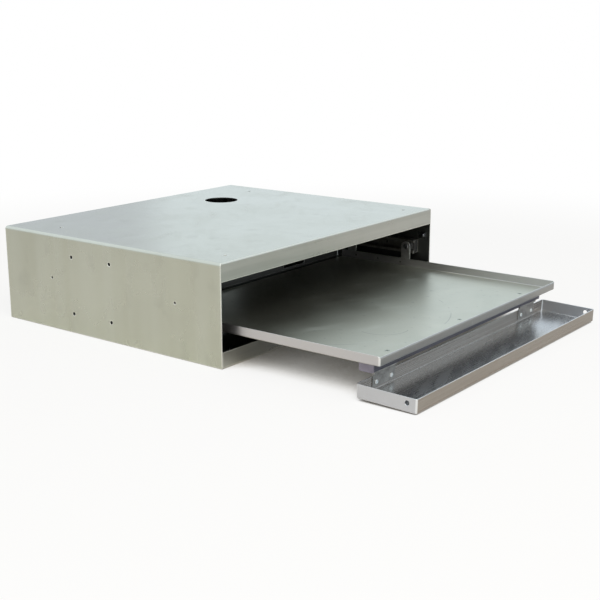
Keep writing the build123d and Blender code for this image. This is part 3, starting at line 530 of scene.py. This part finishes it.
def cross_screw(crown_radius, crown_height, dome, steps):
    """A screw along +Z whose seat is at Z = 0. Steps give the radius and height of each ring below
    the crown."""
    shape = bmesh.new()
    bmesh.ops.create_grid(shape, x_segments=RECESS_CELLS, y_segments=RECESS_CELLS, size=1.0)
    cell = 2 / RECESS_CELLS
    arm, half = RECESS_ARM_CELLS * cell, RECESS_ARM_HALF_WIDTH_CELLS * cell
    cross = [
        face for face in shape.faces
        if min(map(abs, face.calc_center_median()[:2])) < half
        and max(map(abs, face.calc_center_median()[:2])) < arm
    ]
    # The square grid is drawn in to a disc, and then domed
    for vert in shape.verts:
        x, y = vert.co.x, vert.co.y
        vert.co = Vector((x * math.sqrt(1 - y * y / 2), y * math.sqrt(1 - x * x / 2), 0)) * crown_radius
        vert.co.z = crown_height + dome * (1 - (vert.co.xy.length / crown_radius) ** 2)
    bmesh.ops.inset_region(shape, faces=cross, thickness=RECESS_DRAFT, depth=-RECESS_DEPTH)
    radius, height = crown_radius, crown_height
    for next_radius, next_height in steps:
        rim = [edge for edge in shape.edges if edge.is_boundary]
        bmesh.ops.extrude_edge_only(shape, edges=rim)
        ring_verts = list({vert for edge in shape.edges if edge.is_boundary for vert in edge.verts})
        grow = next_radius / radius
        bmesh.ops.scale(shape, verts=ring_verts, vec=(grow, grow, 1))
        bmesh.ops.translate(shape, verts=ring_verts, vec=(0, 0, next_height - height))
        radius, height = next_radius, next_height
    bmesh.ops.contextual_create(shape, geom=[edge for edge in shape.edges if edge.is_boundary])
    bmesh.ops.recalc_face_normals(shape, faces=shape.faces)
    return shape


def screw_set(name, screw, places, lean, plating, node, body):
    """The same screw at each place, leaned over and turned a little further each time."""
    single = bpy.data.meshes.new(name + "_single")
    screw.to_mesh(single)
    screw.free()
    whole = bmesh.new()
    for count, place in enumerate(places):
        before = len(whole.verts)
        whole.from_mesh(single)
        whole.verts.ensure_lookup_table()
        turn = Matrix.Rotation(math.radians(SCREW_TURN * count), 4, "Z")
        move = Matrix.Translation(place) @ Matrix.Rotation(math.radians(lean), 4, "X") @ turn
        bmesh.ops.transform(whole, matrix=move, verts=whole.verts[before:])
    for face in whole.faces:
        face.smooth = True
    mesh = bpy.data.meshes.new(name)
    whole.to_mesh(mesh)
    whole.free()
    bpy.data.meshes.remove(single)
    mesh.set_sharp_from_angle(angle=math.radians(SCREW_SHARP_ANGLE))
    mesh.materials.append(plating)
    piece = put_in_scene(name, mesh)
    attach(piece, body)
    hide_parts(node)


def screw_columns(low, high, count):
    """The middles of a row of heads that reaches from low to high."""
    first, last = low + SCREW_HEAD_RADIUS, high - SCREW_HEAD_RADIUS
    return [first + (last - first) * step / (count - 1) for step in range(count)]


def make_cover_screws():
    """Pan heads on the rear cover, in two rows."""
    low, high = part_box("cover_screws")
    rim_height = COVER_SCREW_HEAD_HEIGHT - COVER_SCREW_DOME
    screw = cross_screw(SCREW_HEAD_RADIUS - COVER_SCREW_RIM, rim_height, COVER_SCREW_DOME, [
        (SCREW_HEAD_RADIUS, rim_height - COVER_SCREW_RIM),
        (SCREW_HEAD_RADIUS, 0),
        (SCREW_SHANK_RADIUS, 0),
        (SCREW_SHANK_RADIUS, low.y - high.y + COVER_SCREW_HEAD_HEIGHT),
    ])
    seat = high.y - COVER_SCREW_HEAD_HEIGHT
    rows = (low.z + SCREW_HEAD_RADIUS, high.z - SCREW_HEAD_RADIUS)
    places = [(x, seat, z) for x in screw_columns(low.x, high.x, COVER_SCREW_COLUMNS) for z in rows]
    screw_set(
        "pan_head_cover_screws", screw, places, -QUARTER_TURN, turned_steel, "cover_screws", "housing"
    )


def make_tray_screws():
    """Countersunk heads in the tray's floor, in one row."""
    low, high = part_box("tray_screws")
    screw = cross_screw(SCREW_HEAD_RADIUS, 0, 0, [
        (SCREW_SHANK_RADIUS, -TRAY_SCREW_SINK),
        (SCREW_SHANK_RADIUS, low.z - high.z),
    ])
    middle = (low.y + high.y) / 2
    places = [(x, middle, high.z) for x in screw_columns(low.x, high.x, TRAY_SCREW_COLUMNS)]
    screw_set("countersunk_tray_screws", screw, places, 0, rubbed_heads, "tray_screws", "drawer")


# Studio

def make_air():
    """White where it is seen, bluish white in the steel but for the grey screen, softer elsewhere."""
    world = bpy.data.worlds.new("studio_air")
    bpy.context.scene.world = world
    tree = empty_tree(world)
    path = add(tree, "LightPath").outputs
    heading = add(tree, "TexCoord").outputs["Generated"]
    heading = add(tree, "SeparateXYZ", {0: heading}).outputs
    azimuth = add(tree, "Math", {0: heading["X"], 1: heading["Y"]}, operation="ARCTAN2")
    azimuth = add(tree, "Math", {0: azimuth}, operation="DEGREES")
    screen = add(tree, "MapRange", {0: azimuth, 1: SCREEN_RIGHT_EDGE[1], 2: SCREEN_RIGHT_EDGE[0]})
    for far, near, reach in (
        (*SCREEN_LEFT_EDGE, azimuth), (SCREEN_TOP_EDGE[1], SCREEN_TOP_EDGE[0], heading["Z"])
    ):
        within = add(tree, "MapRange", {0: reach, 1: far, 2: near})
        screen = add(tree, "Math", {0: screen, 1: within}, operation="MULTIPLY")
    tones = {0: screen, 6: linear(AIR_TONE), 7: linear(SCREEN_TONE)}
    mirrored = add(tree, "Mix", tones, data_type="RGBA").outputs[2]
    tones = {0: path["Is Glossy Ray"], 6: linear(WHITE), 7: mirrored}
    tint = add(tree, "Mix", tones, data_type="RGBA").outputs[2]
    strength = AIR_FILL
    for kind, seen in (
        ("Is Camera Ray", AIR_SEEN), ("Is Transmission Ray", AIR_SEEN), ("Is Glossy Ray", AIR_MIRRORED)
    ):
        strength = add(
            tree, "Math", {0: path[kind], 1: seen - AIR_FILL, 2: strength}, operation="MULTIPLY_ADD"
        )
    air = add(tree, "Background", {"Color": tint, "Strength": strength})
    add(tree, "OutputWorld", {"Surface": air})


def make_floor():
    """A pale floor that is white far off, keeps the part's shadow and shows itself lit in the steel."""
    shape = bmesh.new()
    bmesh.ops.create_grid(shape, x_segments=1, y_segments=1, size=FLOOR_REACH)
    bmesh.ops.translate(shape, verts=shape.verts, vec=(0, 0, cad_low.z - FLOOR_DROP))
    mesh = bpy.data.meshes.new("studio_floor")
    shape.to_mesh(mesh)
    shape.free()
    floor = put_in_scene("studio_floor", mesh)

    material = bpy.data.materials.new("matt_white_floor_paint")
    tree = empty_tree(material)
    path = add(tree, "LightPath").outputs
    place = add(tree, "TexCoord").outputs["Object"]
    distance = add(tree, "VectorMath", {0: place}, operation="LENGTH").outputs["Value"]
    whitened = add(
        tree, "MapRange", {0: distance, 1: FLOOR_NEAR, 2: FLOOR_FAR, 3: FLOOR_NEAR_WHITE_SHARE},
        interpolation_type="SMOOTHSTEP"
    )
    open_air = add(tree, "AmbientOcclusion", {"Distance": FLOOR_SHADE_REACH}, samples=FLOOR_SHADE_SAMPLES)
    open_air = add(tree, "MapRange", {0: open_air.outputs["AO"], 1: FLOOR_SHADE[0], 2: FLOOR_SHADE[1]})
    whitened = add(tree, "Math", {0: whitened, 1: open_air}, operation="MULTIPLY")
    seen = add(tree, "Math", {0: path["Is Camera Ray"], 1: path["Is Transmission Ray"]}, operation="ADD")
    share = add(tree, "Math", {0: seen, 1: whitened}, operation="MULTIPLY")
    share = add(
        tree, "Math", {0: path["Is Glossy Ray"], 1: FLOOR_MIRRORED_SHARE, 2: share}, operation="MULTIPLY_ADD"
    )
    tones = {0: open_air, 6: linear(FLOOR_SHADED_PAINT), 7: linear(FLOOR_PAINT)}
    paint = add(tree, "Mix", tones, data_type="RGBA").outputs[2]
    lit = add(tree, "BsdfDiffuse", {"Color": paint})
    white = add(tree, "Emission", {"Color": linear(WHITE), "Strength": 1.0})
    mixed = add(tree, "MixShader", {0: share, 1: lit, 2: white})
    add(tree, "OutputMaterial", {"Surface": mixed})
    mesh.materials.append(material)


def make_lamp():
    """The soft lamp, turned to its aim."""
    data = bpy.data.lights.new("soft_key", "AREA")
    data.shape = "SQUARE"
    data.size = LAMP_SIZE
    data.energy = LAMP_WATTS
    data.color = linear(LAMP_TONE)[:3]
    lamp = put_in_scene("soft_key", data)
    lamp.location = LAMP_PLACE
    lamp.rotation_euler = (Vector(LAMP_AIM) - Vector(LAMP_PLACE)).to_track_quat("-Z", "Y").to_euler()


def make_camera():
    """The photograph's camera."""
    data = bpy.data.cameras.new("camera")
    data.lens = LENS
    data.sensor_width = SENSOR
    camera = put_in_scene("camera", data)
    foot = Vector((0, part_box("housing_shell")[0].y, cad_low.z))
    camera.location = foot + Vector(CAMERA_FROM_FRONT)
    turn = [math.radians(angle) for angle in (CAMERA_TILT, CAMERA_ROLL, CAMERA_HEADING)]
    camera.rotation_euler = Euler(turn, "XYZ")
    bpy.context.scene.camera = camera


make_camera()
make_air()
make_floor()
make_lamp()
finish_nodes()
make_cover_screws()
make_tray_screws()
bpy.context.scene.view_settings.view_transform = "Standard"
